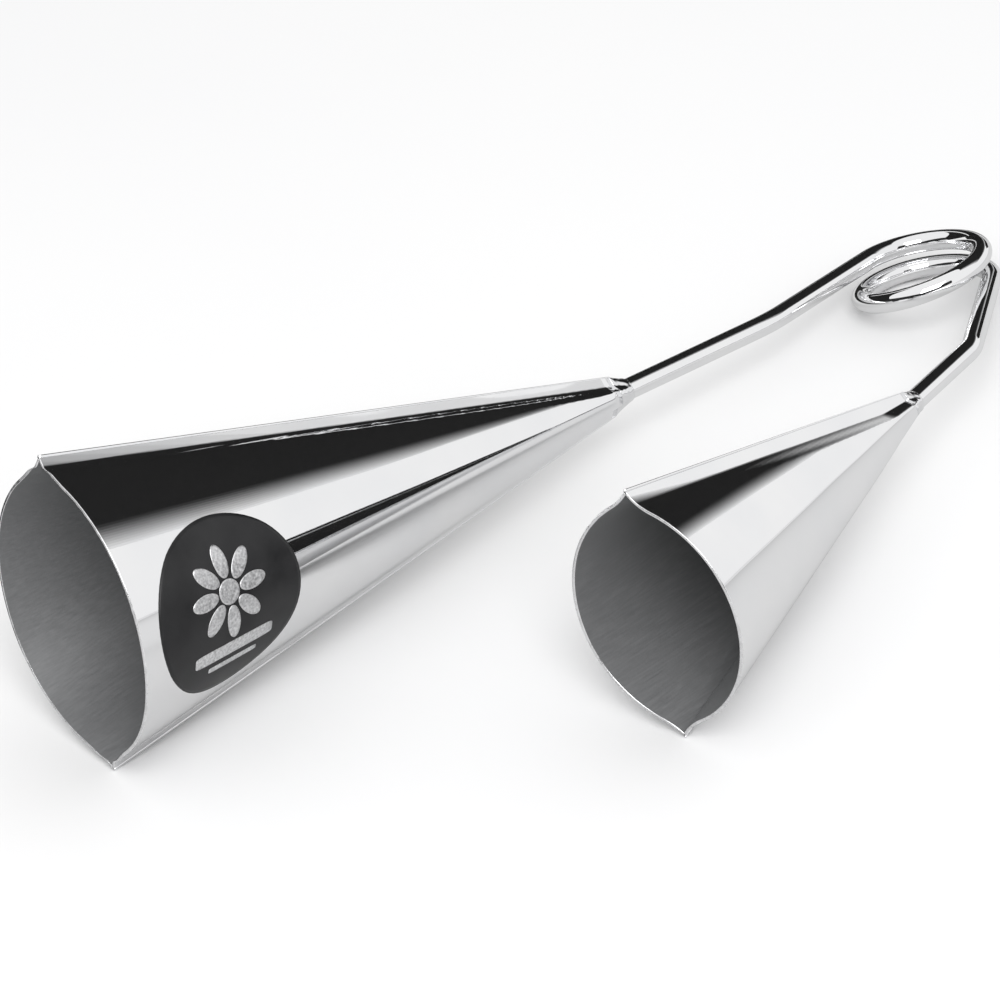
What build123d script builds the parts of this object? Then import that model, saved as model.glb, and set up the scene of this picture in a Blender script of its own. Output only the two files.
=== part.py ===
from build123d import *
import os
from math import asin, atan2, cos, hypot, radians, sin, sqrt, tan

# Hand-held agogo bells: two conical bells of sheet steel on one bent spring-steel rod.
# The rod is coiled between them so that a squeezing hand brings the bells together.
# Millimetres, +Z up. The set lies on a table and touches it with the lower lip of each
# bell and with the lowest strand of the coil; the bells' mouths point along -X.
# The origin is the centre of the footprint, on the table.

# ---- driving dimensions ------------------------------------------------------------
rod_radius = 3.5
sheet = 1.0                         # thickness of the bells' sheet steel

coil_x = 159.8                      # middle of the coil, on its axis
coil_y = 28.3
coil_z = 13.04
coil_tilt = 20.3                    # the axis leans this far from vertical, towards +Y
coil_radius = 21.8                  # of the rod's centre line
coil_pitch = 8.0
coil_start = -12.0                  # the coil winds clockwise, seen from above,
coil_end = -276.5                   # and descends between these two angles

lead_in_heading = 11.1              # headings of the rod are from the coil's X axis
lead_in_slope = -3.3
lead_in_radius = 21.4
lead_in_run = 91.1                  # from the first bend to the lead-in arc's corner
first_bend_radius = 65.0
large_neck_heading = -1.7
large_neck_slope = -4.5
large_neck_run = 70.0               # from the large bell's neck to the first bend

lead_out_heading = -143.5
lead_out_slope = -1.5
lead_out_radius = 22.3
lead_out_run = 118.2                # from the lead-out arc's corner to the last bend
last_bend_radius = 19.0
small_neck_heading = -164.2
small_neck_run = 46.5               # from the last bend to the small bell's neck

large_pitch = -6.357                # climb of each bell's axis from mouth to apex
small_pitch = -4.49

rod_end = 12.0                      # the rod reaches this far into a bell, past its neck
large_collar = 9.0                  # lengths of the neck welds
small_collar = 7.0
collar_step = 0.5                   # a neck weld stands this proud of the rod at its end
collar_cover = 0.15                 # and this proud of the shells at its wide end
collar_waist = (0.45, 0.6)          # place along it, and share of the widening left there

seam_cut = 0.6                      # at the mouth, the ridges are cut back by this
seam_cut_taper = 0.7                # and by this share less at the apex
weld_height = 1.5                   # of the seam welds, in cut-backs
overlength = 1.06                   # the bells are made this much too long, then trimmed

emblem_radius = 28.5
emblem_share = 0.862                # place of the emblem's centre on the bell's height
emblem_drop = 4.9                   # and below the middle of the front shell
film = 0.3                          # thickness of the emblem's black film
emblem_reach = (1.0, 0.6)           # stretch of the bell's height that carries the layers
emblem_depth = 20.0                 # how far the cutting outlines stand in front and behind
print_layer = 0.15                  # thickness of the silver print on it
air = 0.03                          # left between shell, film and print
petals = 8
petal_ring, petal_long, petal_wide = 9.0, 5.0, 2.0
rosette_dot, rosette_rise = 4.0, 5.0
bar_length, bar_width, bar_drop = 32.0, 4.0, 11.0


# ---- the rod's route ---------------------------------------------------------------
coil_plane = Plane(
    origin=(coil_x, coil_y, coil_z),
    x_dir=(1, 0, 0),
    z_dir=(0, sin(radians(coil_tilt)), cos(radians(coil_tilt))),
)


def world_direction(x, y, z):
    """Unit vector from components in the coil's plane."""
    return (coil_plane.from_local_coords(Vector(x, y, z)) - coil_plane.origin).normalized()


def heading(angle, slope):
    """Direction at an angle from the coil's X axis that climbs at a slope."""
    level = cos(radians(slope))
    return world_direction(
        level * cos(radians(angle)), level * sin(radians(angle)), sin(radians(slope))
    )


def coil_height(angle):
    return coil_pitch * (angle + 180) / 360


def coil_point(angle):
    x = coil_radius * cos(radians(angle))
    y = coil_radius * sin(radians(angle))
    return coil_plane.from_local_coords(Vector(x, y, coil_height(angle)))


def coil_direction(angle):
    """Direction of the clockwise, descending rod at an angle of the coil."""
    x = coil_radius * sin(radians(angle))
    y = -coil_radius * cos(radians(angle))
    return world_direction(x, y, -coil_pitch / radians(360))


def tangent_length(radius, before, after):
    """From the corner between two directions to the end of the arc that rounds it."""
    return radius * tan(radians(before.get_angle(after)) / 2)


lead_in = heading(lead_in_heading, lead_in_slope)
large_neck_direction = heading(large_neck_heading, large_neck_slope)
coil_in = coil_direction(coil_start)
lead_in_tangent = tangent_length(lead_in_radius, lead_in, coil_in)
lead_in_corner = coil_point(coil_start) - coil_in * lead_in_tangent
lead_in_start = lead_in_corner - lead_in * lead_in_tangent
first_bend = lead_in_corner - lead_in * lead_in_run
large_neck_point = first_bend - large_neck_direction * large_neck_run

lead_out = heading(lead_out_heading, lead_out_slope)
small_neck_direction = heading(small_neck_heading, 0)
coil_out = coil_direction(coil_end)
lead_out_tangent = tangent_length(lead_out_radius, coil_out, lead_out)
lead_out_corner = coil_point(coil_end) + coil_out * lead_out_tangent
lead_out_end = lead_out_corner + lead_out * lead_out_tangent
last_bend = lead_out_corner + lead_out * lead_out_run
small_neck_point = last_bend + small_neck_direction * small_neck_run


# ---- the bells' shape --------------------------------------------------------------
class Section:
    """Profile of a half shell: one outward arc and a small reverse arc at each seam.

    `across` runs from seam to seam, `out` away from the plane of the seams. An offset
    is measured outwards from the shell's outer face.
    """

    def __init__(self, half_width, depth, bulge, lip):
        self.half_width, self.bulge, self.lip = half_width, bulge, lip
        self.center = depth - bulge
        reach = hypot(half_width, self.center)
        along = ((bulge + lip) ** 2 - lip**2 + reach**2) / (2 * reach)
        beside = sqrt((bulge + lip) ** 2 - along**2)
        self.lip_across = (along * half_width + beside * self.center) / reach
        self.lip_out = self.center + (beside * half_width - along * self.center) / reach

    def out_at(self, across, offset):
        root = (self.lip - offset) ** 2 - (across - self.lip_across) ** 2
        return self.lip_out - sqrt(root)

    def seam_across(self, offset):
        return self.lip_across - sqrt((self.lip - offset) ** 2 - self.lip_out**2)

    def joint(self, offset):
        """Where the main arc meets the reverse arc."""
        share = (self.bulge + offset) / (self.bulge + self.lip)
        return self.lip_across * share, self.center + (self.lip_out - self.center) * share

    def points(self, offset, end):
        """Ends and middles of the three arcs, from the upper end to the lower end."""
        joint = self.joint(offset)
        angles = [
            atan2(out - self.lip_out, across - self.lip_across)
            for across, out in (joint, end)
        ]
        middle = sum(angles) / 2
        radius = self.lip - offset
        between = (
            self.lip_across + radius * cos(middle),
            self.lip_out + radius * sin(middle),
        )
        half = [end, between, joint]
        top = (0, self.center + self.bulge + offset)
        return [(-x, y) for x, y in half] + [top] + half[::-1]


class Bell:
    """Sizes and place of a bell; its axis passes through the rod at the neck.

    yaw, pitch, roll: of the axis from the mouth to the virtual apex
    slant: from the virtual apex to the tips of the mouth; span: from tip to tip
    depths and bulges: of the half shells on the -Y side and on the +Y side
    rim_radius: the mouth is trimmed to a sphere of this radius
    neck: place of the neck as a share of the height from the apex to the mouth
    """

    def __init__(self, neck_point, yaw, pitch, roll, slant, span, depths, bulges, lip,
                 rim_radius, neck, neck_depth):
        self.span, self.lip, self.neck, self.neck_depth = span, lip, neck, neck_depth
        self.depths, self.bulges, self.rim_radius = depths, bulges, rim_radius
        turned = Location((0, 0, 0), (0, 0, yaw)) * Location((0, 0, 0), (0, -pitch, 0))
        frame = Plane(turned * Location((0, 0, 0), (-roll, 0, 0)))
        self.axis, self.side, self.down = frame.x_dir, frame.y_dir, frame.z_dir * -1
        self.height = sqrt(slant**2 - (span / 2) ** 2)
        self.apex = neck_point + self.axis * (self.height * neck)
        rim_reach = sqrt(rim_radius**2 - (span / 2) ** 2)
        self.rim_center = self.apex - self.axis * (self.height - rim_reach)

    def center(self, share):
        return self.apex - self.axis * (self.height * share)

    def cut(self, share):
        """How far the ridges are cut back for the seam welds."""
        return seam_cut * (1 - seam_cut_taper * (1 - share))

    def plane(self, share, back):
        """Section plane of the back or the front half shell."""
        outward = self.side if back else self.side * -1
        return Plane(self.center(share), x_dir=self.down, z_dir=self.down.cross(outward))

    def section(self, share, back):
        """Half shell's profile; its depth grows evenly from the neck to the mouth."""
        depth = self.depths[back]
        growth = (share - self.neck) / (1 - self.neck)
        return Section(
            self.span / 2 * share,
            self.neck_depth + (depth - self.neck_depth) * growth,
            self.bulges[back] * share,
            self.lip * share,
        )


def shell_face(bell, share, back):
    section = bell.section(share, back)
    cut = section.half_width - bell.cut(share)
    outer = section.points(0, (cut, section.out_at(cut, 0)))
    inner = section.points(-sheet, (section.seam_across(-sheet), 0))
    with BuildSketch(bell.plane(share, back)) as face:
        with BuildLine():
            for profile in (outer, inner):
                for first in (0, 2, 4):
                    ThreePointArc(*profile[first:first + 3])
            Polyline(outer[0], (-cut, 0), inner[0])
            Polyline(outer[-1], (cut, 0), inner[-1])
        make_face()
    return face.sketch


def layer_face(bell, share, lower, upper):
    """Face of a thin layer over the front shell, between two offsets."""
    section = bell.section(share, False)
    end = section.half_width - 2 * bell.cut(share)
    profiles = [
        section.points(offset, (end, section.out_at(end, offset)))
        for offset in (lower, upper)
    ]
    with BuildSketch(bell.plane(share, False)) as face:
        with BuildLine():
            for profile in profiles:
                for first in (0, 2, 4):
                    ThreePointArc(*profile[first:first + 3])
            Line(profiles[0][0], profiles[1][0])
            Line(profiles[0][-1], profiles[1][-1])
        make_face()
    return face.sketch


def weld_face(bell, share, lower):
    """Half-round bead on a cut-back ridge, at the lower or the upper seam."""
    front, back = bell.section(share, False), bell.section(share, True)
    cut = front.half_width - bell.cut(share)
    top = cut + bell.cut(share) * weld_height
    side = 1 if lower else -1
    ridge = [(side * cut, front.out_at(cut, 0)), (side * cut, -back.out_at(cut, 0))]
    with BuildSketch(bell.plane(share, False)) as face:
        with BuildLine():
            Line(*ridge)
            ThreePointArc(ridge[0], (side * top, 0), ridge[1])
        make_face()
    return face.sketch


def collar_faces(bell, neck_point, direction, length):
    """Cross-sections of a neck weld, from the shells' ends to the rod."""
    wide = bell.section(bell.neck, False).half_width + collar_cover
    deep = bell.neck_depth + collar_cover
    thin = rod_radius + collar_step
    across = (bell.down - direction * bell.down.dot(direction)).normalized()
    faces = []
    for share, stretch in ((0.0, 1.0), collar_waist, (1.0, 0.0)):
        if share == 0:
            plane = Plane(bell.center(bell.neck), x_dir=bell.down, z_dir=bell.axis)
        else:
            plane = Plane(neck_point + direction * length * share, across, direction)
        with BuildSketch(plane) as face:
            Ellipse(thin + (wide - thin) * stretch, thin + (deep - thin) * stretch)
        faces.append(face.sketch)
    return faces


large = Bell(large_neck_point, yaw=-3.7, pitch=large_pitch, roll=17.4, slant=246.3,
             span=99.6, depths=(38.1, 38.1), bulges=(46.5, 46.5), lip=80.0,
             rim_radius=246.3, neck=0.133, neck_depth=5.1)
small = Bell(small_neck_point, yaw=11.4, pitch=small_pitch, roll=13.5, slant=171.9,
             span=81.4, depths=(30.6, 28.0), bulges=(37.3, 39.6), lip=20.0,
             rim_radius=290.0, neck=0.14, neck_depth=4.7)


# ---- the large bell ----------------------------------------------------------------
with BuildPart() as large_bell_front_shell:
    loft([shell_face(large, share, False) for share in (overlength, large.neck)], ruled=True)
    with Locations(large.rim_center):
        Sphere(large.rim_radius, mode=Mode.INTERSECT)

with BuildPart() as large_bell_back_shell:
    loft([shell_face(large, share, True) for share in (overlength, large.neck)], ruled=True)
    with Locations(large.rim_center):
        Sphere(large.rim_radius, mode=Mode.INTERSECT)

with BuildPart() as large_bell_top_weld:
    loft([weld_face(large, share, False) for share in (overlength, large.neck)], ruled=True)
    with Locations(large.rim_center):
        Sphere(large.rim_radius, mode=Mode.INTERSECT)

with BuildPart() as large_bell_bottom_weld:
    loft([weld_face(large, share, True) for share in (overlength, large.neck)], ruled=True)
    with Locations(large.rim_center):
        Sphere(large.rim_radius, mode=Mode.INTERSECT)


# ---- the small bell ----------------------------------------------------------------
with BuildPart() as small_bell_front_shell:
    loft([shell_face(small, share, False) for share in (overlength, small.neck)], ruled=True)
    with Locations(small.rim_center):
        Sphere(small.rim_radius, mode=Mode.INTERSECT)

with BuildPart() as small_bell_back_shell:
    loft([shell_face(small, share, True) for share in (overlength, small.neck)], ruled=True)
    with Locations(small.rim_center):
        Sphere(small.rim_radius, mode=Mode.INTERSECT)

with BuildPart() as small_bell_top_weld:
    loft([weld_face(small, share, False) for share in (overlength, small.neck)], ruled=True)
    with Locations(small.rim_center):
        Sphere(small.rim_radius, mode=Mode.INTERSECT)

with BuildPart() as small_bell_bottom_weld:
    loft([weld_face(small, share, True) for share in (overlength, small.neck)], ruled=True)
    with Locations(small.rim_center):
        Sphere(small.rim_radius, mode=Mode.INTERSECT)


# ---- the rod -----------------------------------------------------------------------
with BuildPart() as large_bell_arm:
    with BuildLine() as large_arm_route:
        FilletPolyline(
            large_neck_point - large_neck_direction * rod_end,
            first_bend,
            lead_in_start,
            radius=first_bend_radius,
        )
    with BuildSketch(large_arm_route.line ^ 0):
        Circle(rod_radius)
    sweep(path=large_arm_route.line)

with BuildPart() as small_bell_arm:
    with BuildLine() as small_arm_route:
        FilletPolyline(
            lead_out_end,
            last_bend,
            small_neck_point + small_neck_direction * rod_end,
            radius=last_bend_radius,
        )
    with BuildSketch(small_arm_route.line ^ 0):
        Circle(rod_radius)
    sweep(path=small_arm_route.line)

# The helix starts at the coil's lower end and climbs counter-clockwise to its upper end.
strand = (
    coil_plane.location
    * Pos(0, 0, coil_height(coil_end))
    * Rot(0, 0, coil_end)
    * Helix(coil_pitch, coil_height(coil_start) - coil_height(coil_end), coil_radius)
)

with BuildPart() as spring_coil:
    with BuildLine() as coil_route:
        TangentArc(lead_out_end, coil_point(coil_end), tangent=lead_out * -1)
        add(strand)
        TangentArc(coil_point(coil_start), lead_in_start, tangent=coil_in * -1)
    with BuildSketch(Plane(origin=lead_out_end, z_dir=lead_out * -1)):
        Circle(rod_radius)
    sweep(path=coil_route.line)

with BuildPart() as large_neck_weld:
    loft(collar_faces(large, large_neck_point, large_neck_direction, large_collar))
    add(large_bell_arm.part, mode=Mode.SUBTRACT)

with BuildPart() as small_neck_weld:
    loft(collar_faces(small, small_neck_point, small_neck_direction * -1, small_collar))
    add(small_bell_arm.part, mode=Mode.SUBTRACT)


# ---- the emblem --------------------------------------------------------------------
emblem_section = large.section(emblem_share, False)
lean = asin(emblem_drop / emblem_section.bulge)
across_normal = large.down * sin(lean) - large.side * cos(lean)
reach = large.bulges[0] + (large.depths[0] - large.bulges[0]) * cos(lean)
emblem_normal = (across_normal + large.axis * (reach / large.height)).normalized()
emblem_center = (
    large.center(emblem_share)
    + across_normal * emblem_section.bulge
    - large.side * emblem_section.center
)
emblem_width = emblem_section.bulge * sin(emblem_radius / emblem_section.bulge)
along_bell = (large.axis - emblem_normal * large.axis.dot(emblem_normal)).normalized()
emblem_plane = Plane(emblem_center, x_dir=along_bell, z_dir=emblem_normal)

with BuildPart() as emblem_disc:
    loft([layer_face(large, share, air, air + film) for share in emblem_reach], ruled=True)
    with BuildSketch(emblem_plane.offset(-emblem_depth)):
        Ellipse(emblem_radius, emblem_width)
    extrude(amount=2 * emblem_depth, mode=Mode.INTERSECT)

with BuildPart() as emblem_print:
    bottom = 2 * air + film
    loft(
        [layer_face(large, share, bottom, bottom + print_layer) for share in emblem_reach],
        ruled=True,
    )
    with BuildSketch(emblem_plane.offset(-emblem_depth)):
        with Locations((0, rosette_rise)):
            Circle(rosette_dot)
            with PolarLocations(petal_ring, petals, start_angle=90):
                Ellipse(petal_long, petal_wide)
        with Locations((0, -bar_drop)):
            Rectangle(bar_length, bar_width)
    extrude(amount=2 * emblem_depth, mode=Mode.INTERSECT)


# ---- files -------------------------------------------------------------------------
os.makedirs("parts", exist_ok=True)

large_bell_front_shell.part.label = "large_bell_front_shell"
export_step(large_bell_front_shell.part, "parts/large_bell_front_shell.step")
large_bell_back_shell.part.label = "large_bell_back_shell"
export_step(large_bell_back_shell.part, "parts/large_bell_back_shell.step")
large_bell_top_weld.part.label = "large_bell_top_weld"
export_step(large_bell_top_weld.part, "parts/large_bell_top_weld.step")
large_bell_bottom_weld.part.label = "large_bell_bottom_weld"
export_step(large_bell_bottom_weld.part, "parts/large_bell_bottom_weld.step")
small_bell_front_shell.part.label = "small_bell_front_shell"
export_step(small_bell_front_shell.part, "parts/small_bell_front_shell.step")
small_bell_back_shell.part.label = "small_bell_back_shell"
export_step(small_bell_back_shell.part, "parts/small_bell_back_shell.step")
small_bell_top_weld.part.label = "small_bell_top_weld"
export_step(small_bell_top_weld.part, "parts/small_bell_top_weld.step")
small_bell_bottom_weld.part.label = "small_bell_bottom_weld"
export_step(small_bell_bottom_weld.part, "parts/small_bell_bottom_weld.step")
large_bell_arm.part.label = "large_bell_arm"
export_step(large_bell_arm.part, "parts/large_bell_arm.step")
small_bell_arm.part.label = "small_bell_arm"
export_step(small_bell_arm.part, "parts/small_bell_arm.step")
spring_coil.part.label = "spring_coil"
export_step(spring_coil.part, "parts/spring_coil.step")
large_neck_weld.part.label = "large_neck_weld"
export_step(large_neck_weld.part, "parts/large_neck_weld.step")
small_neck_weld.part.label = "small_neck_weld"
export_step(small_neck_weld.part, "parts/small_neck_weld.step")
emblem_disc.part.label = "emblem_disc"
export_step(emblem_disc.part, "parts/emblem_disc.step")
emblem_print.part.label = "emblem_print"
export_step(emblem_print.part, "parts/emblem_print.step")
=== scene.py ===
"""Agogo bells: two chrome-plated conical bells on a coiled spring rod."""
import bpy
from bisect import bisect_left
from math import atan2, cos, hypot, pi, radians, sin, sqrt, tan
from mathutils import Matrix, Vector, noise


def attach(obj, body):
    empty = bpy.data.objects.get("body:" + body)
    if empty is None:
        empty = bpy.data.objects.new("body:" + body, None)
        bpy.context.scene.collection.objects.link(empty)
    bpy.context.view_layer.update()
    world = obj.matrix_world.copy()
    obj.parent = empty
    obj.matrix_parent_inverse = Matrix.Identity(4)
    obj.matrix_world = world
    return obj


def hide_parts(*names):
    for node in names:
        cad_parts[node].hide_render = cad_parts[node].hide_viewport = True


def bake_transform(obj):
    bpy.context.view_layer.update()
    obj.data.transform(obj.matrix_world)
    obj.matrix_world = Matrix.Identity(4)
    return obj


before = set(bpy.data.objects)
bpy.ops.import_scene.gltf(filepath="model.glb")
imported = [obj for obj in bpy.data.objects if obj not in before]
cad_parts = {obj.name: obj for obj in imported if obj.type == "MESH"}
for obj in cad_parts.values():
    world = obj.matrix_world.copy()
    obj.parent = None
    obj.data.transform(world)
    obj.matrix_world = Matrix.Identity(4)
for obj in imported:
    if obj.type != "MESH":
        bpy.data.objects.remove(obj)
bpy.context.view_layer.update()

MM = 0.001                    # everything below is worked out in millimetres

# ---- sizes, as in the CAD model ----------------------------------------------------
ROD_RADIUS = 3.5
SHEET = 1.0
COIL_CENTER = Vector((159.8, 28.3, 13.04))
COIL_TILT = radians(20.3)
COIL_RADIUS = 21.8
COIL_PITCH = 8.0
COIL_START, COIL_END = radians(-12.0), radians(-276.5)
LEAD_IN_RUN, LEAD_OUT_RUN = 91.1, 118.2
LEAD_IN_RADIUS, LEAD_OUT_RADIUS = 21.4, 22.3
FIRST_BEND_RADIUS, LAST_BEND_RADIUS = 65.0, 19.0
LARGE_NECK_RUN, SMALL_NECK_RUN = 70.0, 46.5
ROD_END = 12.0                # the rod reaches this far into a bell, past its neck
COIL_STEPS, ROD_STEP, ROD_SIDES = 220, 2.5, 48
SEAM_CUT, SEAM_CUT_TAPER, WELD_HEIGHT = 0.6, 0.7, 1.5
EMBLEM_SHARE, EMBLEM_DROP, EMBLEM_RADIUS = 0.862, 4.9, 28.5


# ---- mesh helpers ------------------------------------------------------------------
def new_object(name, points, faces, materials, indices=None):
    """A mesh object from points in millimetres."""
    mesh = bpy.data.meshes.new(name)
    mesh.from_pydata([tuple(p * MM) for p in points], [], faces)
    for material in materials:
        mesh.materials.append(material)
    if indices:
        mesh.polygons.foreach_set("material_index", indices)
    mesh.polygons.foreach_set("use_smooth", [True] * len(mesh.polygons))
    mesh.validate()
    mesh.update()
    piece = bpy.data.objects.new(name, mesh)
    bpy.context.scene.collection.objects.link(piece)
    return piece


def bridge(rings, closed_ends=True):
    """Faces between equal closed rings of points, numbered one ring after another."""
    count = len(rings[0])
    faces = []
    for row in range(len(rings) - 1):
        for i in range(count):
            j = (i + 1) % count
            a, b = row * count, (row + 1) * count
            faces.append((a + i, a + j, b + j, b + i))
    if closed_ends:
        last = (len(rings) - 1) * count
        faces.append(tuple(range(count - 1, -1, -1)))
        faces.append(tuple(last + i for i in range(count)))
    return [p for ring in rings for p in ring], faces


# ---- the rod's route ---------------------------------------------------------------
COIL_AXIS = Vector((0, sin(COIL_TILT), cos(COIL_TILT)))
COIL_X = Vector((1, 0, 0))
COIL_Y = COIL_AXIS.cross(COIL_X)


def coil_local(x, y, z):
    return COIL_X * x + COIL_Y * y + COIL_AXIS * z


def heading(angle, slope):
    a, s = radians(angle), radians(slope)
    return coil_local(cos(s) * cos(a), cos(s) * sin(a), sin(s))


def coil_point(angle):
    height = COIL_PITCH * (angle + pi) / (2 * pi)
    return COIL_CENTER + coil_local(COIL_RADIUS * cos(angle), COIL_RADIUS * sin(angle), height)


def coil_direction(angle):
    drop = -COIL_PITCH / (2 * pi)
    return coil_local(COIL_RADIUS * sin(angle), -COIL_RADIUS * cos(angle), drop).normalized()


def tangent_length(radius, before, after):
    return radius * tan(before.angle(after) / 2)


LEAD_IN, LARGE_NECK = heading(11.1, -3.3), heading(-1.7, -4.5)
LEAD_OUT, SMALL_NECK = heading(-143.5, -1.5), heading(-164.2, 0)
COIL_IN, COIL_OUT = coil_direction(COIL_START), coil_direction(COIL_END)
LEAD_IN_CORNER = coil_point(COIL_START) - COIL_IN * tangent_length(LEAD_IN_RADIUS, LEAD_IN, COIL_IN)
LEAD_OUT_CORNER = coil_point(COIL_END) + COIL_OUT * tangent_length(
    LEAD_OUT_RADIUS, COIL_OUT, LEAD_OUT)
FIRST_BEND = LEAD_IN_CORNER - LEAD_IN * LEAD_IN_RUN
LAST_BEND = LEAD_OUT_CORNER + LEAD_OUT * LEAD_OUT_RUN
LARGE_NECK_POINT = FIRST_BEND - LARGE_NECK * LARGE_NECK_RUN
SMALL_NECK_POINT = LAST_BEND + SMALL_NECK * SMALL_NECK_RUN


def arc_points(corner, before, after, radius, step=0.5):
    """Points of the arc that rounds a corner between two directions."""
    length = tangent_length(radius, before, after)
    turn = before.angle(after)
    start = corner - before * length
    inward = (after - before * after.dot(before)).normalized()
    center = start + inward * radius
    count = max(6, int(radius * turn / step))
    return [
        center - inward * radius * cos(turn * i / count) + before * radius * sin(turn * i / count)
        for i in range(count + 1)
    ]


def rod_points():
    """The rod's centre line, from inside the large bell to inside the small bell."""
    points = [LARGE_NECK_POINT - LARGE_NECK * ROD_END]
    points += arc_points(FIRST_BEND, LARGE_NECK, LEAD_IN, FIRST_BEND_RADIUS)
    points += arc_points(LEAD_IN_CORNER, LEAD_IN, COIL_IN, LEAD_IN_RADIUS)
    for i in range(1, COIL_STEPS):
        points.append(coil_point(COIL_START + (COIL_END - COIL_START) * i / COIL_STEPS))
    points += arc_points(LEAD_OUT_CORNER, COIL_OUT, LEAD_OUT, LEAD_OUT_RADIUS)
    points += arc_points(LAST_BEND, LEAD_OUT, SMALL_NECK, LAST_BEND_RADIUS)
    points.append(SMALL_NECK_POINT + SMALL_NECK * ROD_END)
    return points


def spread(points, step):
    """The same line with extra points, so that none are more than a step apart."""
    line = [points[0]]
    for a, b in zip(points, points[1:]):
        count = max(1, int((b - a).length / step))
        line += [a.lerp(b, i / count) for i in range(1, count + 1)]
    return line


def tube(points, radius, sides):
    """Rings around a line, carried along it without twist."""
    rings = []
    up = Vector((0, 0, 1))
    for i, point in enumerate(points):
        ahead = points[min(i + 1, len(points) - 1)] - points[max(i - 1, 0)]
        ahead.normalize()
        up = (up - ahead * up.dot(ahead)).normalized()
        side = ahead.cross(up)
        rings.append([
            point + side * radius * cos(2 * pi * k / sides) + up * radius * sin(2 * pi * k / sides)
            for k in range(sides)
        ])
    return rings


# ---- the bells' shape --------------------------------------------------------------
class Section:
    """Profile of a half shell: one outward arc and a reverse arc at each seam."""

    def __init__(self, half_width, depth, bulge, lip):
        self.half_width, self.bulge, self.lip = half_width, bulge, lip
        self.center = depth - bulge
        reach = hypot(half_width, self.center)
        along = ((bulge + lip) ** 2 - lip**2 + reach**2) / (2 * reach)
        beside = sqrt((bulge + lip) ** 2 - along**2)
        self.lip_across = (along * half_width + beside * self.center) / reach
        self.lip_out = self.center + (beside * half_width - along * self.center) / reach

    def out_at(self, across, offset=0.0):
        """Distance from the seams' plane, on a surface offset outwards."""
        share = (self.bulge + offset) / (self.bulge + self.lip)
        if abs(across) <= self.lip_across * share:
            return self.center + sqrt((self.bulge + offset) ** 2 - across**2)
        root = (self.lip - offset) ** 2 - (abs(across) - self.lip_across) ** 2
        return self.lip_out - sqrt(max(root, 0.0))

    def seam_across(self, offset):
        return self.lip_across - sqrt((self.lip - offset) ** 2 - self.lip_out**2)


class Bell:
    """Sizes and place of a bell, as in the CAD model."""

    def __init__(self, name, neck_point, yaw, pitch, roll, slant, span, depths, bulges, lip,
                 rim_radius, neck, neck_depth, flange_width, flange_fade):
        self.name, self.neck, self.neck_depth = name, neck, neck_depth
        self.flange_width, self.flange_fade = flange_width, flange_fade
        self.span, self.lip, self.depths, self.bulges = span, lip, depths, bulges
        self.rim_radius = rim_radius
        y, p, r = radians(yaw), radians(pitch), radians(roll)
        self.axis = Vector((cos(y) * cos(p), sin(y) * cos(p), sin(p)))
        level = Vector((-sin(y), cos(y), 0))
        up = self.axis.cross(level)
        self.down = -(up * cos(r) + level * sin(r))
        self.side = level * cos(r) - up * sin(r)
        self.height = sqrt(slant**2 - (span / 2) ** 2)
        self.apex = neck_point + self.axis * (self.height * neck)
        rim_reach = sqrt(rim_radius**2 - (span / 2) ** 2)
        self.rim_center = self.apex - self.axis * (self.height - rim_reach)

    def center(self, share):
        return self.apex - self.axis * (self.height * share)

    def cut(self, share):
        return SEAM_CUT * (1 - SEAM_CUT_TAPER * (1 - share))

    def section(self, share, back):
        growth = (share - self.neck) / (1 - self.neck)
        depth = self.neck_depth + (self.depths[back] - self.neck_depth) * growth
        return Section(self.span / 2 * share, depth, self.bulges[back] * share, self.lip * share)

    def place(self, share, across, out, back):
        """Point at a place along the bell, in the section's own directions."""
        side = 1 if back else -1
        return self.center(share) + self.down * across + self.side * (side * out)


LARGE = Bell("large_bell", LARGE_NECK_POINT, yaw=-3.7, pitch=-6.357, roll=17.4,
             slant=246.3, span=99.6, depths=(38.1, 38.1), bulges=(46.5, 46.5), lip=80.0,
             rim_radius=246.3, neck=0.133, neck_depth=5.1, flange_width=3.2, flange_fade=0.2)
SMALL = Bell("small_bell", SMALL_NECK_POINT, yaw=11.4, pitch=-4.49, roll=13.5,
             slant=171.9, span=81.4, depths=(30.6, 28.0), bulges=(37.3, 39.6), lip=20.0,
             rim_radius=290.0, neck=0.14, neck_depth=4.7, flange_width=3.8, flange_fade=0.9)


# ---- materials ---------------------------------------------------------------------
def new_material(name, base, metallic, roughness):
    material = bpy.data.materials.new(name)
    material.use_nodes = True
    shader = material.node_tree.nodes["Principled BSDF"]
    shader.inputs["Base Color"].default_value = (*base, 1)
    shader.inputs["Metallic"].default_value = metallic
    shader.inputs["Roughness"].default_value = roughness
    return material, material.node_tree.nodes, material.node_tree.links, shader


def object_noise(nodes, links, scale, stretch=(1, 1, 1), turn=(0, 0, 0), detail=4.0):
    """Noise in the piece's own space; the stretch is a count per metre along each axis."""
    place = nodes.new("ShaderNodeTexCoord")
    mapping = nodes.new("ShaderNodeMapping")
    mapping.inputs["Rotation"].default_value = turn
    mapping.inputs["Scale"].default_value = stretch
    texture = nodes.new("ShaderNodeTexNoise")
    texture.inputs["Scale"].default_value = scale
    texture.inputs["Detail"].default_value = detail
    links.new(place.outputs["Object"], mapping.inputs["Vector"])
    links.new(mapping.outputs["Vector"], texture.inputs["Vector"])
    return texture.outputs["Fac"]


def to_range(nodes, links, value, low, high, start=0.3, stop=0.7):
    node = nodes.new("ShaderNodeMapRange")
    node.inputs["From Min"].default_value = start
    node.inputs["From Max"].default_value = stop
    node.inputs["To Min"].default_value = low
    node.inputs["To Max"].default_value = high
    links.new(value, node.inputs["Value"])
    return node.outputs["Result"]


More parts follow.
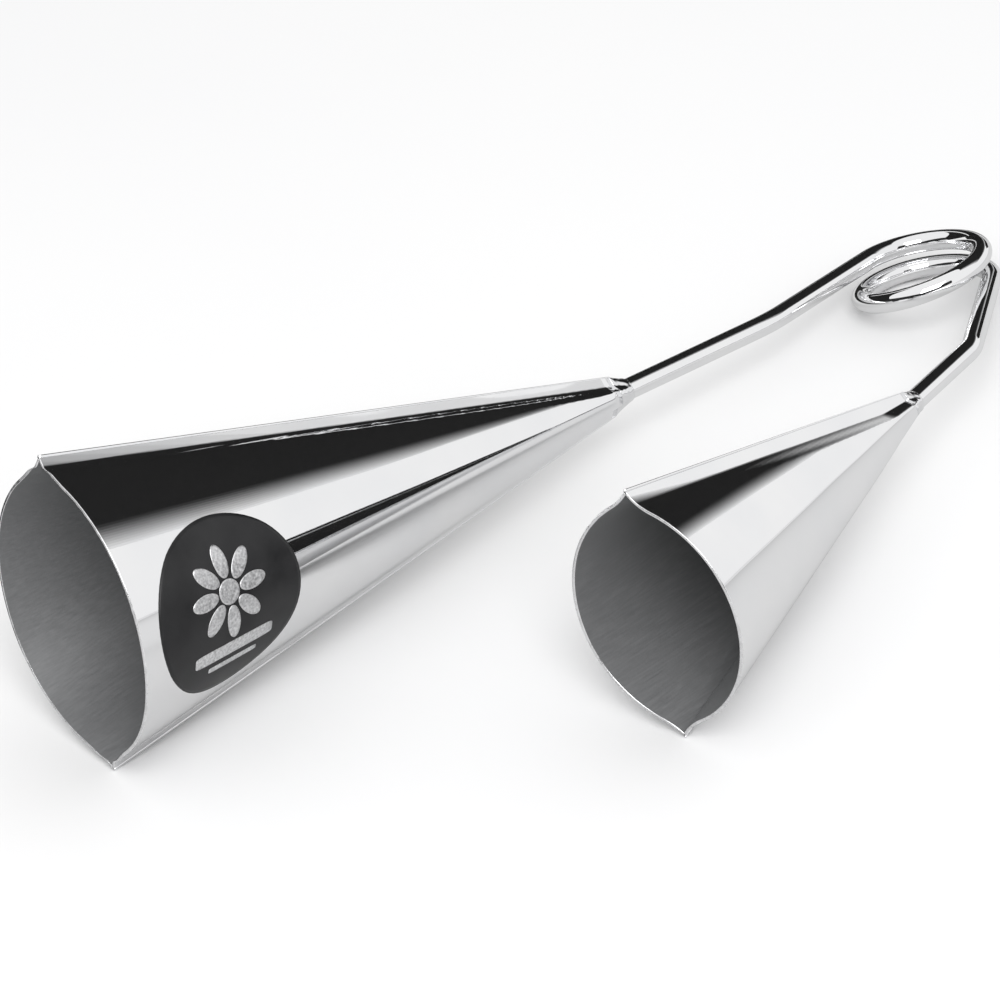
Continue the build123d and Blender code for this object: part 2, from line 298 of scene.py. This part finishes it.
def color_ramp(nodes, links, value, stops):
    node = nodes.new("ShaderNodeValToRGB")
    while len(node.color_ramp.elements) < len(stops):
        node.color_ramp.elements.new(0.5)
    for element, (place, color) in zip(node.color_ramp.elements, stops):
        element.position = place
        element.color = (*color, 1)
    links.new(value, node.inputs["Fac"])
    return node.outputs["Color"]


def add_bump(nodes, links, shader, value, strength, distance):
    node = nodes.new("ShaderNodeBump")
    node.inputs["Strength"].default_value = strength
    node.inputs["Distance"].default_value = distance
    links.new(value, node.inputs["Height"])
    links.new(node.outputs["Normal"], shader.inputs["Normal"])
    return node


def chrome(name, smudge=0.035, scratch_turn=(0, 0, 0)):
    """Bright chrome plate with faint smudges and hair-fine polishing lines."""
    material, nodes, links, shader = new_material(name, (0.93, 0.935, 0.945), 1.0, 0.04)
    cloud = object_noise(nodes, links, 38.0, detail=5.0)
    roughness = to_range(nodes, links, cloud, 0.022, 0.022 + smudge, 0.38, 0.75)
    links.new(roughness, shader.inputs["Roughness"])
    tint = color_ramp(nodes, links, cloud, [(0.3, (0.95, 0.95, 0.955)), (0.75, (0.90, 0.905, 0.92))])
    links.new(tint, shader.inputs["Base Color"])
    lines = object_noise(nodes, links, 60.0, (1.5, 40, 40), scratch_turn, 2.0)
    add_bump(nodes, links, shader, lines, 0.03, 0.00002)
    return material


def brushed_inside(name, turn):
    """Unplated inside of a bell: dark satin steel with fine drawn marks and stains."""
    material, nodes, links, shader = new_material(name, (0.2, 0.2, 0.205), 0.4, 0.5)
    marks = object_noise(nodes, links, 30.0, (3, 60, 60), turn, 6.0)
    stains = object_noise(nodes, links, 24.0, detail=6.0)
    specks = object_noise(nodes, links, 900.0, detail=3.0)
    mix = nodes.new("ShaderNodeMath")
    mix.operation = "MULTIPLY_ADD"
    links.new(stains, mix.inputs[0])
    mix.inputs[1].default_value = 0.6
    links.new(to_range(nodes, links, marks, 0.0, 0.4), mix.inputs[2])
    grain = nodes.new("ShaderNodeMath")
    grain.operation = "MULTIPLY_ADD"
    links.new(specks, grain.inputs[0])
    grain.inputs[1].default_value = 0.22
    links.new(mix.outputs[0], grain.inputs[2])
    tone = color_ramp(nodes, links, grain.outputs[0], [
        (0.30, (0.20, 0.203, 0.207)), (0.62, (0.225, 0.228, 0.232)), (0.95, (0.26, 0.263, 0.267))])
    links.new(tone, shader.inputs["Base Color"])
    links.new(to_range(nodes, links, marks, 0.42, 0.58), shader.inputs["Roughness"])
    add_bump(nodes, links, shader, grain.outputs[0], 0.25, 0.00008)
    return material


def cut_edge(name):
    """Bare cut edge of the sheet: bright, with fine filing marks."""
    material, nodes, links, shader = new_material(name, (0.85, 0.85, 0.86), 1.0, 0.28)
    marks = object_noise(nodes, links, 420.0, (1, 1, 1), detail=4.0)
    links.new(to_range(nodes, links, marks, 0.18, 0.42), shader.inputs["Roughness"])
    tone = color_ramp(nodes, links, marks, [(0.3, (0.72, 0.72, 0.73)), (0.7, (0.93, 0.93, 0.94))])
    links.new(tone, shader.inputs["Base Color"])
    add_bump(nodes, links, shader, marks, 0.2, 0.00005)
    return material


def weld_chrome(name):
    """Chrome over a weld: a little uneven, with small dimples."""
    material, nodes, links, shader = new_material(name, (0.9, 0.905, 0.915), 1.0, 0.06)
    dimples = object_noise(nodes, links, 320.0, detail=3.0)
    links.new(to_range(nodes, links, dimples, 0.04, 0.13), shader.inputs["Roughness"])
    tone = color_ramp(nodes, links, dimples, [(0.3, (0.80, 0.805, 0.82)), (0.7, (0.93, 0.93, 0.94))])
    links.new(tone, shader.inputs["Base Color"])
    add_bump(nodes, links, shader, dimples, 0.25, 0.00012)
    return material


def black_film(name):
    """Semi-gloss black vinyl with a faint grain and soft smudges."""
    material, nodes, links, shader = new_material(name, (0.012, 0.012, 0.013), 0.0, 0.32)
    shader.inputs["Specular IOR Level"].default_value = 0.3
    cloud = object_noise(nodes, links, 70.0, detail=4.0)
    grain = object_noise(nodes, links, 1600.0, detail=2.0)
    links.new(to_range(nodes, links, cloud, 0.30, 0.44), shader.inputs["Roughness"])
    tone = color_ramp(nodes, links, cloud, [(0.3, (0.008, 0.008, 0.009)), (0.7, (0.02, 0.02, 0.021))])
    links.new(tone, shader.inputs["Base Color"])
    add_bump(nodes, links, shader, grain, 0.08, 0.00002)
    return material


def silver_print(name):
    """Frosted silver ink with a fine metallic grain."""
    material, nodes, links, shader = new_material(name, (0.7, 0.7, 0.71), 1.0, 0.45)
    grain = object_noise(nodes, links, 1300.0, detail=3.0)
    links.new(to_range(nodes, links, grain, 0.30, 0.60), shader.inputs["Roughness"])
    tone = color_ramp(nodes, links, grain, [(0.3, (0.50, 0.50, 0.51)), (0.7, (0.88, 0.88, 0.89))])
    links.new(tone, shader.inputs["Base Color"])
    add_bump(nodes, links, shader, grain, 0.35, 0.00006)
    return material


def painted_floor(name):
    material, nodes, links, shader = new_material(name, (0.82, 0.82, 0.825), 0.0, 0.6)
    shader.inputs["Specular IOR Level"].default_value = 0.0
    cloud = object_noise(nodes, links, 3.0, detail=3.0)
    tone = color_ramp(nodes, links, cloud, [(0.3, (0.815, 0.815, 0.82)), (0.7, (0.83, 0.83, 0.83))])
    links.new(tone, shader.inputs["Base Color"])
    return material


large_turn = (0, radians(-6.4), radians(3.7))
small_turn = (0, radians(-4.5), radians(-11.4))
LARGE_CHROME = chrome("large_bell_chrome", scratch_turn=large_turn)
SMALL_CHROME = chrome("small_bell_chrome", scratch_turn=small_turn)
ROD_CHROME = chrome("rod_chrome", smudge=0.02)
WELD = weld_chrome("weld_chrome")
EDGE = cut_edge("cut_edge")
LARGE_INSIDE = brushed_inside("large_bell_inside", large_turn)
SMALL_INSIDE = brushed_inside("small_bell_inside", small_turn)
FILM = black_film("emblem_film")
PRINT = silver_print("emblem_silver")


# ---- the bells' pieces -------------------------------------------------------------
PROFILE_STEPS = 110
LENGTH_STEPS = 56
WAVE_HEIGHT, WAVE_LENGTH = 0.05, 30.0      # the sheet is a little uneven
FLANGE_SLOPE = 0.62                        # of the narrow flat bands along the seams
FLANGE_STEP = 1.8                          # width of the steep bend beside them
SHEET_UPRIGHT = 1.15                       # the sheet's thickness across a sloping band
RIM_ROUND = 0.2
RIM_GUARD = 0.15                           # a ring this near the rim keeps its shading crisp

BEAD_STEPS, BEAD_SIDES = 160, 14
BEAD_RIPPLE, BEAD_WAVE = 0.07, 2.2
COLLAR_STEPS, COLLAR_SIDES = 40, 96
COLLAR_STEP = 0.4                          # the collar ends this proud of the rod
COLLAR_COVER = 0.06                        # and lies this proud of the shells
COLLAR_WRINKLE = 0.09
LARGE_COLLAR, SMALL_COLLAR = 6.0, 4.6      # length along the rod


def find_rim(bell, point_at, limit=1.08):
    """Share of the bell's height at which a line along the bell reaches the rim."""
    low, high = 0.8, limit
    for _ in range(30):
        middle = (low + high) / 2
        if (point_at(middle) - bell.rim_center).length < bell.rim_radius:
            low = middle
        else:
            high = middle
    return low


def pressed_out(bell, share, across, back):
    """Outer face of a half shell, with the flat band that is pressed along each seam."""
    section = bell.section(share, back)
    out = section.out_at(across)
    width = min(bell.flange_width, 0.4 * section.half_width)
    step = min(FLANGE_STEP, 0.3 * section.half_width)
    edge = section.half_width - abs(across)
    into = min(max((width + step - edge) / step, 0.0), 1.0)
    amount = into * into * (3 - 2 * into) * (1 - bell.flange_fade * share**3)
    return out + (min(out, FLANGE_SLOPE * edge) - out) * amount


def outer_point(bell, share, place, back):
    section = bell.section(share, back)
    across = place * (section.half_width - bell.cut(share))
    out = pressed_out(bell, share, across, back)
    wave = noise.noise(bell.place(share, across, out, back) / WAVE_LENGTH)
    fade = (1 - place**8) * min(1, (share - bell.neck) * 12)
    return bell.place(share, across, out + WAVE_HEIGHT * (wave - 0.6) * fade, back)


def inner_point(bell, share, place, back):
    section = bell.section(share, back)
    across = place * section.seam_across(-SHEET)
    pressed = pressed_out(bell, share, across, back) - SHEET_UPRIGHT
    out = max(min(section.out_at(across, -SHEET), pressed), 0.0)
    return bell.place(share, across, out, back)


def bell_shell(bell, back, outside, inside):
    places = [sin(pi * (k / PROFILE_STEPS - 0.5)) for k in range(PROFILE_STEPS + 1)]
    columns = [(outer_point, p) for p in places] + [(inner_point, p) for p in places[::-1]]
    rings = [[] for _ in range(LENGTH_STEPS + 3)]
    for surface, place in columns:
        rim = find_rim(bell, lambda s: surface(bell, s, place, back))
        edge = rim - RIM_ROUND / bell.height
        step = (edge - bell.neck) / LENGTH_STEPS
        shares = [bell.neck + step * row for row in range(LENGTH_STEPS)]
        shares += [edge - RIM_GUARD / bell.height, edge, rim]
        for ring, share in zip(rings, shares):
            ring.append(surface(bell, share, place, back))
    count = len(columns)
    twin = [count - 1 - k for k in range(count)]
    rings[-1] = [p.lerp(rings[-1][twin[k]], RIM_ROUND) for k, p in enumerate(rings[-1])]
    points, faces = bridge(rings, closed_ends=False)
    indices = []
    for row in range(LENGTH_STEPS + 2):
        for k in range(count):
            if row > LENGTH_STEPS or k in (PROFILE_STEPS, count - 1):
                indices.append(2)
            else:
                indices.append(0 if k < PROFILE_STEPS else 1)
    last = (len(rings) - 1) * count
    for k in range(PROFILE_STEPS):
        faces.append((last + k, last + k + 1, last + twin[k + 1], last + twin[k]))
        faces.append((twin[k], twin[k + 1], k + 1, k))
        indices += [2, 2]
    if back:
        faces = [face[::-1] for face in faces]
    side = "back" if back else "front"
    piece = new_object(f"{bell.name}_{side}_sheet", points, faces, [outside, inside, EDGE], indices)
    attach(piece, bell.name)
    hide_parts(f"{bell.name}_{side}_shell")
    return piece


def seam_bead(bell, lower, material):
    """Half-round weld bead along a ridge, with slight ripples."""
    sign = 1 if lower else -1

    def bead_point(share, turn):
        cut = bell.section(share, False).half_width - bell.cut(share)
        wide = pressed_out(bell, share, cut, cos(turn) < 0)
        ripple = 1 + BEAD_RIPPLE * noise.noise(Vector((share * bell.height / BEAD_WAVE, sign, 0)))
        high = bell.cut(share) * WELD_HEIGHT * min(ripple, 1.0)
        across = sign * (cut + high * sin(turn))
        return bell.place(share, across, wide * cos(turn), False)

    turns = [pi * k / BEAD_SIDES for k in range(BEAD_SIDES + 1)]
    rims = [find_rim(bell, lambda s, t=t: bead_point(s, t)) for t in turns]
    rings = []
    for row in range(BEAD_STEPS + 1):
        rings.append([
            bead_point(bell.neck + (rim - bell.neck) * row / BEAD_STEPS, t)
            for rim, t in zip(rims, turns)
        ])
    points, faces = bridge(rings)
    if lower:
        faces = [face[::-1] for face in faces]
    end = "bottom" if lower else "top"
    piece = new_object(f"{bell.name}_{end}_bead", points, faces, [material])
    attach(piece, bell.name)
    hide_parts(f"{bell.name}_{end}_weld")
    return piece


def neck_collar(bell, neck_point, direction, length):
    """Smooth weld that runs from the shells' ends onto the rod, a little wrinkled."""
    half = bell.section(bell.neck, False).half_width
    thin = ROD_RADIUS + COLLAR_STEP
    end_shrink = {-2: 0.25, -1: 0.05, COLLAR_STEPS + 1: 0.25, COLLAR_STEPS + 2: 0.38}
    rings = []
    for row in range(-2, COLLAR_STEPS + 3):
        share = min(row / COLLAR_STEPS, 1.0)
        ease = max(share, 0.0) ** 0.8
        ahead = bell.axis.lerp(direction, max(share, 0.0)).normalized()
        across = (bell.down - ahead * bell.down.dot(ahead)).normalized()
        outward = ahead.cross(across)
        middle = bell.center(bell.neck).lerp(neck_point + direction * length, share)
        shrink = end_shrink.get(row, 0.0)
        ring = []
        for k in range(COLLAR_SIDES):
            turn = 2 * pi * k / COLLAR_SIDES
            reach = half * cos(turn)
            deep = pressed_out(bell, bell.neck, reach, False) * (1 if sin(turn) > 0 else -1)
            a = reach + (thin * cos(turn) - reach) * ease
            b = deep + (thin * sin(turn) - deep) * ease
            place = Vector((cos(turn) * 2.0, sin(turn) * 2.0, share * 5 + bell.height))
            wrinkle = COLLAR_WRINKLE * noise.noise(place) * min(1, max(share, 0) * 5) - shrink
            size = 1 + (wrinkle + COLLAR_COVER) / hypot(a, b)
            ring.append(middle + across * a * size + outward * b * size + ahead * 0.3 * shrink)
        rings.append(ring)
    points, faces = bridge(rings)
    piece = new_object(f"{bell.name}_collar", points, faces, [WELD])
    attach(piece, bell.name)
    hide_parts(f"{bell.name.split('_')[0]}_neck_weld")
    return piece


for bell, outside, inside in ((LARGE, LARGE_CHROME, LARGE_INSIDE), (SMALL, SMALL_CHROME, SMALL_INSIDE)):
    for back in (False, True):
        bell_shell(bell, back, outside, inside)
        seam_bead(bell, back, outside)
neck_collar(LARGE, LARGE_NECK_POINT, LARGE_NECK, LARGE_COLLAR)
neck_collar(SMALL, SMALL_NECK_POINT, SMALL_NECK * -1, SMALL_COLLAR)


rod_mesh, rod_faces = bridge(tube(spread(rod_points(), ROD_STEP), ROD_RADIUS, ROD_SIDES))
rod = new_object("spring_rod", rod_mesh, rod_faces, [ROD_CHROME])
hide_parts("large_bell_arm", "spring_coil", "small_bell_arm")
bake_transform(rod)


# ---- the emblem --------------------------------------------------------------------
# The emblem is a flat sticker wrapped round the front shell, so it is laid out on the
# unrolled cone: a distance from the apex, and an angle along the unrolled sheet.
UNROLL_STEPS = 600


def unrolled_profile():
    """Directions from the apex round the front shell, with their unrolled angles."""
    section = LARGE.section(1.0, False)
    directions = []
    for k in range(UNROLL_STEPS + 1):
        across = section.half_width * (1 - 2 * k / UNROLL_STEPS) * 0.99
        point = LARGE.place(1.0, across, section.out_at(across), False)
        directions.append((point - LARGE.apex).normalized())
    angles = [0.0]
    for before, after in zip(directions, directions[1:]):
        angles.append(angles[-1] + before.angle(after))
    return directions, angles


DIRECTIONS, ANGLES = unrolled_profile()
emblem_section = LARGE.section(EMBLEM_SHARE, False)
emblem_place = LARGE.place(EMBLEM_SHARE, EMBLEM_DROP, emblem_section.out_at(EMBLEM_DROP), False)
EMBLEM_REACH = (emblem_place - LARGE.apex).length
emblem_direction = (emblem_place - LARGE.apex).normalized()
nearest = max(range(UNROLL_STEPS + 1), key=lambda k: DIRECTIONS[k].dot(emblem_direction))
EMBLEM_ANGLE = ANGLES[nearest]


def on_shell(along, upward, lift):
    """Place on the front shell, from millimetres along and up the unrolled sheet."""
    reach = hypot(EMBLEM_REACH - along, upward)
    angle = EMBLEM_ANGLE + atan2(upward, EMBLEM_REACH - along)
    k = min(max(bisect_left(ANGLES, angle), 1), UNROLL_STEPS)
    part = (angle - ANGLES[k - 1]) / (ANGLES[k] - ANGLES[k - 1])
    ray = DIRECTIONS[k - 1].lerp(DIRECTIONS[k], part).normalized()
    outward = (DIRECTIONS[k] - DIRECTIONS[k - 1]).cross(ray).normalized()
    return LARGE.apex + ray * reach + outward * lift


def patch(outline, rows, low, high):
    """Thin closed layer on the shell; outline(row share, k) gives places, k around it."""
    center = outline(0, 0)
    sides = 72
    points, faces = [], []
    for lift in (high, low):
        points.append(on_shell(*center, lift))
        for row in range(1, rows + 1):
            points += [on_shell(*outline(row / rows, k / sides), lift) for k in range(sides)]
    layer = 1 + rows * sides
    for base in (0, layer):
        for k in range(sides):
            j = (k + 1) % sides
            face = [(base, base + 1 + k, base + 1 + j)]
            for row in range(rows - 1):
                a, b = base + 1 + row * sides, base + 1 + (row + 1) * sides
                face.append((a + k, b + k, b + j, a + j))
            faces += [f[::-1] for f in face] if base else face
    edge = 1 + (rows - 1) * sides
    for k in range(sides):
        j = (k + 1) % sides
        faces.append((edge + j, edge + k, layer + edge + k, layer + edge + j))
    return points, faces


def ellipse(x, y, long, short, angle):
    def outline(share, turn):
        a = long * share * cos(2 * pi * turn)
        b = short * share * sin(2 * pi * turn)
        return x + a * cos(angle) - b * sin(angle), y + a * sin(angle) + b * cos(angle)
    return outline


def bar(x, y, long, short, power=8):
    """Bar with rounded corners."""
    def outline(share, turn):
        c, s = cos(2 * pi * turn), sin(2 * pi * turn)
        size = (abs(c) ** power + abs(s) ** power) ** (-1 / power)
        return x + long * share * size * c, y + short * share * size * s
    return outline


FILM_LIFT = (0.03, 0.22)
PRINT_LIFT = (0.23, 0.32)
FILM_ROWS, PRINT_ROWS = 22, 7
PETALS, PETAL_RING, PETAL_LONG, PETAL_WIDE = 8, 9.6, 5.2, 2.6
DOT_RADIUS, ROSETTE_RISE = 4.0, 5.0
film_points, film_faces = patch(ellipse(0, 0, EMBLEM_RADIUS, EMBLEM_RADIUS, 0), FILM_ROWS, *FILM_LIFT)
film_piece = new_object("emblem_film", film_points, film_faces, [FILM])
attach(film_piece, "large_bell")
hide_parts("emblem_disc")

shapes = [ellipse(0, ROSETTE_RISE, DOT_RADIUS, DOT_RADIUS, 0)]
for k in range(PETALS):
    turn = pi / 2 + k * 2 * pi / PETALS
    x, y = PETAL_RING * cos(turn), ROSETTE_RISE + PETAL_RING * sin(turn)
    shapes.append(ellipse(x, y, PETAL_LONG, PETAL_WIDE, turn))
shapes += [bar(0, -13, 16, 2.2), bar(0, -18, 10, 0.9)]
print_points, print_faces = [], []
for shape in shapes:
    points, faces = patch(shape, PRINT_ROWS, *PRINT_LIFT)
    start = len(print_points)
    print_points += points
    print_faces += [tuple(start + i for i in face) for face in faces]
print_piece = new_object("emblem_rosette", print_points, print_faces, [PRINT])
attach(print_piece, "large_bell")
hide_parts("emblem_print")


# ---- camera ------------------------------------------------------------------------
AZIMUTH, ELEVATION, ROLL = radians(-39.85), radians(34.13), radians(-6.22)
LOOKS_AT = Vector((22.3, 99.2, -36.6))
CAMERA_DISTANCE = 1360.0
LENS_LENGTH, SENSOR_WIDTH = 144.0, 36.0

back_way = Vector((sin(AZIMUTH) * cos(ELEVATION), -cos(AZIMUTH) * cos(ELEVATION), sin(ELEVATION)))
level_right = Vector((cos(AZIMUTH), sin(AZIMUTH), 0))
level_up = back_way.cross(level_right)
right_way = level_right * cos(ROLL) + level_up * sin(ROLL)
up_way = level_up * cos(ROLL) - level_right * sin(ROLL)
spot = LOOKS_AT + back_way * CAMERA_DISTANCE
lens = bpy.data.cameras.new("camera")
lens.sensor_width = SENSOR_WIDTH
lens.lens = LENS_LENGTH
lens.clip_start, lens.clip_end = 0.05, 50.0
camera = bpy.data.objects.new("camera", lens)
turned = Matrix((right_way, up_way, back_way)).transposed().to_4x4()
camera.matrix_world = Matrix.Translation(spot * MM) @ turned
bpy.context.scene.collection.objects.link(camera)
bpy.context.scene.camera = camera


# ---- floor, light and flags --------------------------------------------------------
FLOOR_REACH = 7.0             # metres from here on


def square(reach, height):
    """Corners of a level square around the origin."""
    return [(x * reach, y * reach, height) for x, y in ((-1, -1), (1, -1), (1, 1), (-1, 1))]


def stage_plane(name, corners, material):
    """A four-cornered sheet that isn't part of the object."""
    mesh = bpy.data.meshes.new(name)
    mesh.from_pydata([tuple(c) for c in corners], [], [(0, 1, 2, 3)])
    mesh.materials.append(material)
    item = bpy.data.objects.new(name, mesh)
    bpy.context.scene.collection.objects.link(item)
    return item


def matte(name, shade):
    material, _, _, shader = new_material(name, (shade, shade, shade), 0.0, 1.0)
    shader.inputs["Specular IOR Level"].default_value = 0.0
    return material


floor = stage_plane("floor", square(FLOOR_REACH, 0), painted_floor("floor_paint"))
floor.rotation_euler.z = radians(180)      # its paint's clouds turn with it
FLAG_SHADE = 0.018
FADE_STEPS, FADE_SHADE = 10, 0.75          # cards behind it, each larger and lighter
FADE_LENGTH, FADE_SIDE = 0.33, 0.1


def card(name, corners, shade):
    """Matte card seen only in the chrome: the camera, the shadows and the floor miss it."""
    item = stage_plane(name, corners, matte(name, shade))
    item.visible_camera = False
    item.visible_shadow = False
    item.visible_diffuse = False


def flag(name, direction, sweep, distance, reach, spread_by, shade=FLAG_SHADE):
    """Card off to one side.

    direction: where it stands, seen from the bells; sweep: the way its long side runs
    reach: its two ends along the sweep; spread_by: its two sides, both per distance
    """
    facing = Vector(direction).normalized()
    run = Vector(sweep)
    run = (run - facing * run.dot(facing)).normalized()
    beside = facing.cross(run)
    card(name, [
        (facing + run * r + beside * b) * distance
        for r, b in ((reach[0], spread_by[0]), (reach[1], spread_by[0]),
                     (reach[1], spread_by[1]), (reach[0], spread_by[1]))
    ], shade)


TINT_HEIGHT, TINT_SHADE = 0.0004, 0.58     # the floor as the chrome shows it
FLOOR_FLAG_HEIGHT = 0.001
FLOOR_FLAG_CORNERS = ((-0.3, 0.125), (0.3, 0.07), (0.45, 0.6), (-0.3, 0.6))
BEHIND, BEHIND_RUN = (0.68, 0.27, 0.55), (-0.03, 0.95, -0.53)
BEHIND_DISTANCE, BEHIND_GAP = 2.2, 0.01
for k in range(FADE_STEPS + 1):
    share = k / FADE_STEPS
    flag(f"flag_behind_{k}", BEHIND, BEHIND_RUN, BEHIND_DISTANCE + BEHIND_GAP * k,
         (-0.33 - FADE_LENGTH * share, 1.15), (-0.28 - FADE_SIDE * share, 0.34),
         FLAG_SHADE + FADE_SHADE * share**1.6)
flag("flag_low", (0.64, 0.77, 0.12), (0.77, -0.64, 0), 3.0, (-0.8, 0.8), (-0.12, 0.1))
flag("flag_left", (-0.15, 0.88, 0.45), (1, 0, 0), 2.4, (-1.2, 0.5), (-0.22, 0.28))
flag("flag_right", (-0.2, -0.85, 0.42), (1, 0, 0), 2.4, (-1.1, 0.25), (-0.2, 0.3), 0.03)
flag("flag_front", (-0.9, 0.05, 0.4), (0, 1, 0), 2.4, (-0.6, 0.6), (-0.2, 0.22), 0.03)
card("floor_tint", square(2, TINT_HEIGHT), TINT_SHADE)
card("floor_flag", [(x, y, FLOOR_FLAG_HEIGHT) for x, y in FLOOR_FLAG_CORNERS], FLAG_SHADE)

world = bpy.data.worlds.new("studio")
world.use_nodes = True
world.node_tree.nodes["Background"].inputs["Color"].default_value = (1, 1, 1, 1)
world.node_tree.nodes["Background"].inputs["Strength"].default_value = 0.9
bpy.context.scene.world = world


softbox = bpy.data.lights.new("softbox_left", "AREA")
softbox.size = 1.2
softbox.energy = 22
softbox_item = bpy.data.objects.new("softbox_left", softbox)
softbox_item.location = Vector((-0.5, -0.6, 0.9)).normalized() * 2.0
softbox_item.rotation_euler = softbox_item.location.to_track_quat("Z", "Y").to_euler()
bpy.context.scene.collection.objects.link(softbox_item)
bpy.context.scene.view_settings.view_transform = "Standard"
